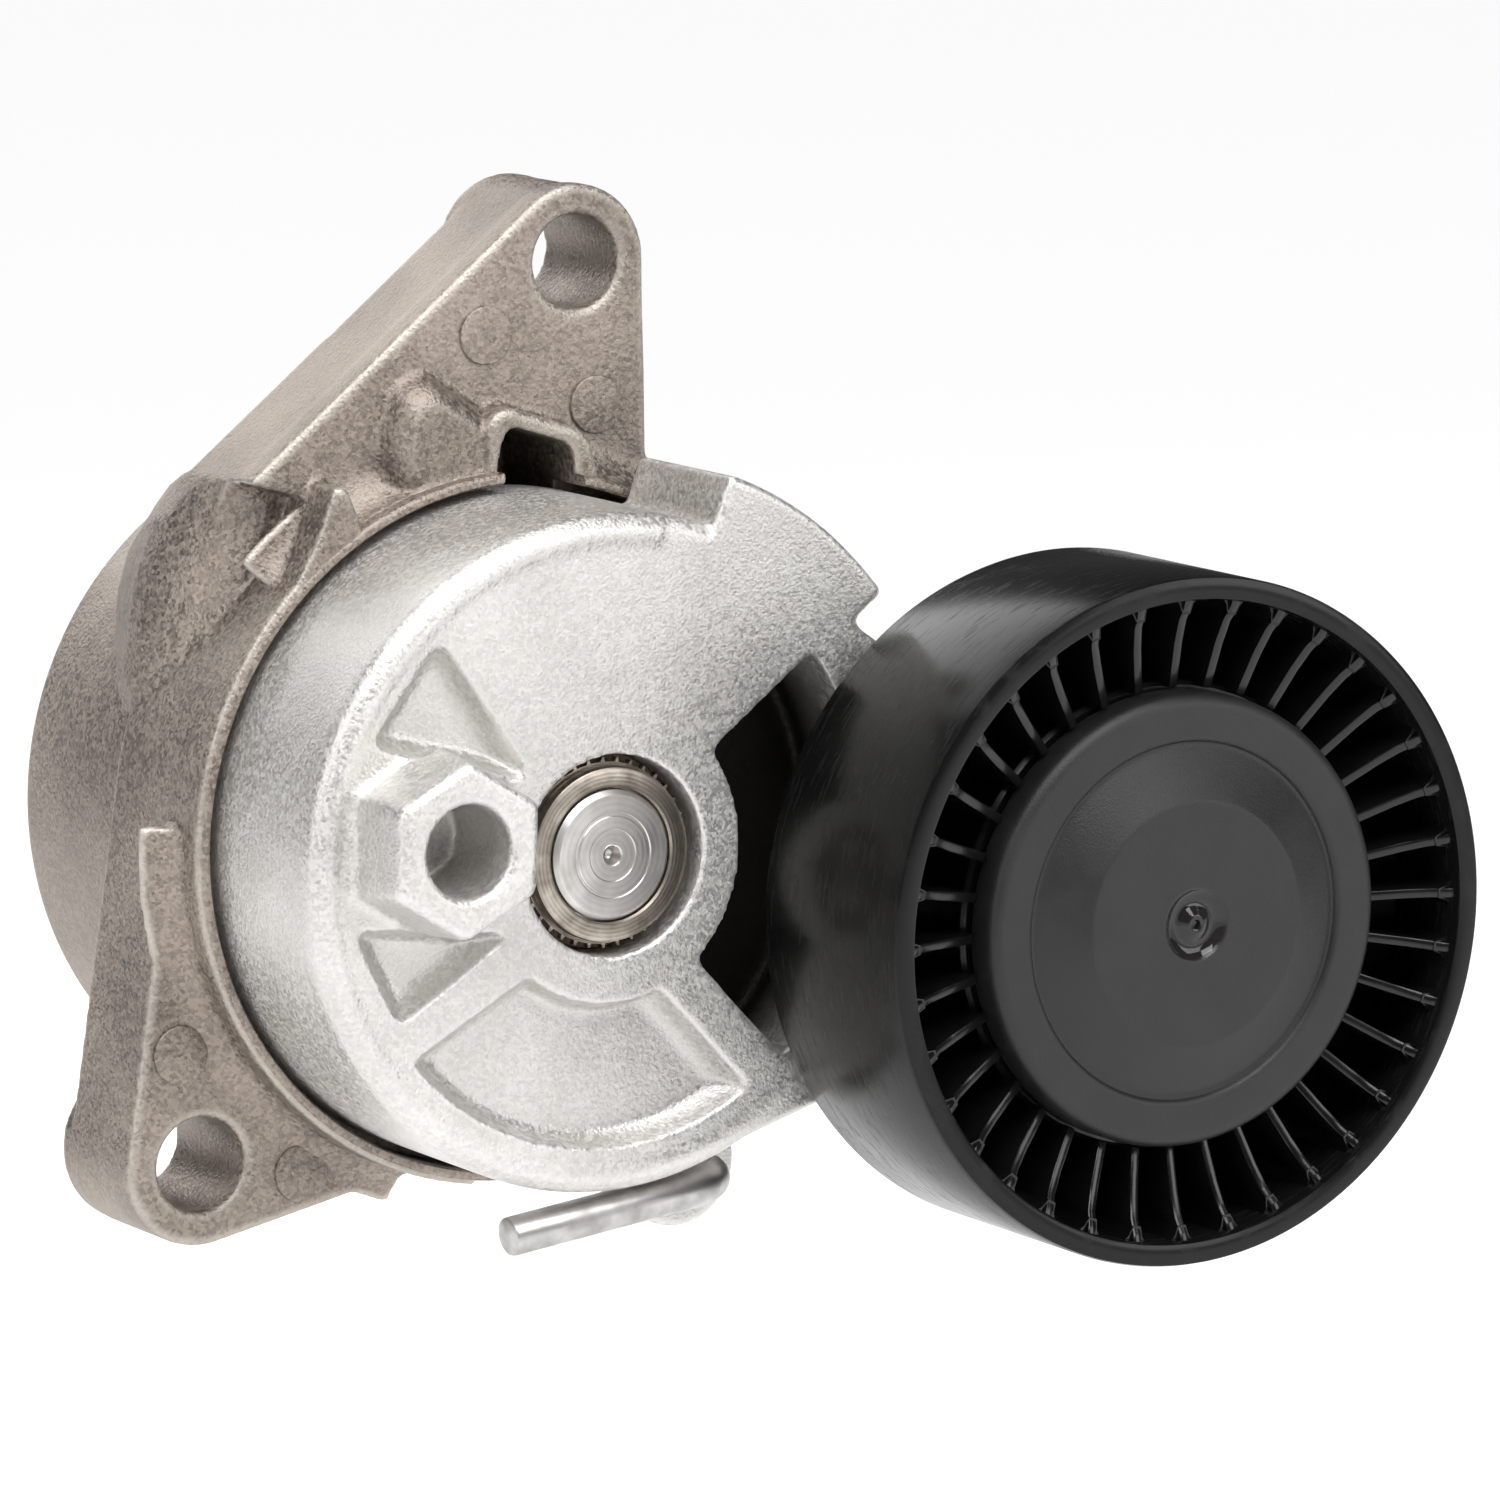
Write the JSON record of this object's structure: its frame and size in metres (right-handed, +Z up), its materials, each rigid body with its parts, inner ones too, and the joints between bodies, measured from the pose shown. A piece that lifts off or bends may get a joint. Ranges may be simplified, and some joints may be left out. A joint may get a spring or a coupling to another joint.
{
  "type": "automatic belt tensioner with smooth idler pulley",
  "caption": "Automatic belt tensioner: cast base with two bolt ears, spring-loaded arm with a wrench boss, and a smooth black idler pulley.",
  "frame": {"origin": "centre of the pivot shaft's rear end face, flush with the rear face of the base cup", "axes": "-Y points forward, from the base to the pulley's face; +X points from the pivot towards the pulley; +Z up, towards the upper bolt ear"},
  "size_m": [0.1278, 0.0887, 0.1068],
  "materials": {
    "cast_base": "shot-blasted die casting, dull brownish grey",
    "cast_arm": "shot-blasted die casting, bright",
    "turned_steel": "turned",
    "worn_steel": "worn, brownish",
    "pin_steel": "drawn wire, satin",
    "spring_steel": "blackened spring steel",
    "bearing_steel": "ground",
    "pulley_plastic": "black glass-filled polyamide, smooth tread",
    "cap_plastic": "fine-grained matt black",
    "damper_plastic": "dark friction polymer",
    "bush_polymer": "plain-bearing polymer, brown",
    "seal_rubber": "nitrile seal"
  },
  "bodies": {
    "base": {"base_housing": "cast_base", "pivot_shaft": "turned_steel", "front_thrust_washer": "worn_steel", "serrated_lock_ring": "worn_steel", "rear_thrust_washer": "bush_polymer", "torsion_spring": "spring_steel", "damper_sleeve": "damper_plastic", "front_spring_seat": "damper_plastic", "rear_spring_seat": "damper_plastic"},
    "arm": {"tensioner_arm": "cast_arm", "pivot_bush": "bush_polymer", "pulley_bolt": "worn_steel", "bearing_inner_ring": "bearing_steel", "rear_dust_shield": "worn_steel"},
    "pulley": {"pulley_wheel": "pulley_plastic", "dust_cap": "cap_plastic", "bearing_outer_ring": "bearing_steel", "bearing_front_seal": "seal_rubber", "bearing_rear_seal": "seal_rubber"},
    "ball_set": {"bearing_cage": "bush_polymer", "bearing_ball_1": "bearing_steel", "bearing_ball_2": "bearing_steel", "bearing_ball_3": "bearing_steel", "bearing_ball_4": "bearing_steel", "bearing_ball_5": "bearing_steel", "bearing_ball_6": "bearing_steel", "bearing_ball_7": "bearing_steel", "bearing_ball_8": "bearing_steel"},
    "pin": {"lock_pin": "pin_steel"}
  },
  "joints": [
    {"name": "arm_pivot", "type": "hinge", "parent": "base", "child": "arm", "pos_m": [0, -0.045, 0], "axis": [0, 1, 0], "range_deg": [-4, 34]},
    {"name": "pulley_spin", "type": "hinge", "parent": "arm", "child": "pulley", "pos_m": [0.0507, -0.0754, -0.00725], "axis": [0, 1, 0], "continuous": true},
    {"name": "cage_spin", "type": "hinge", "parent": "arm", "child": "ball_set", "pos_m": [0.0507, -0.0754, -0.00725], "axis": [0, 1, 0], "continuous": true},
    {"name": "lock_pin_slide", "type": "slide", "parent": "arm", "child": "pin", "axis": [0, -1, 0], "range_m": [0, 0.025]}
  ],
  "couplings": [
    {"joint": "cage_spin", "follows": "pulley_spin", "ratio": 0.616}
  ]
}
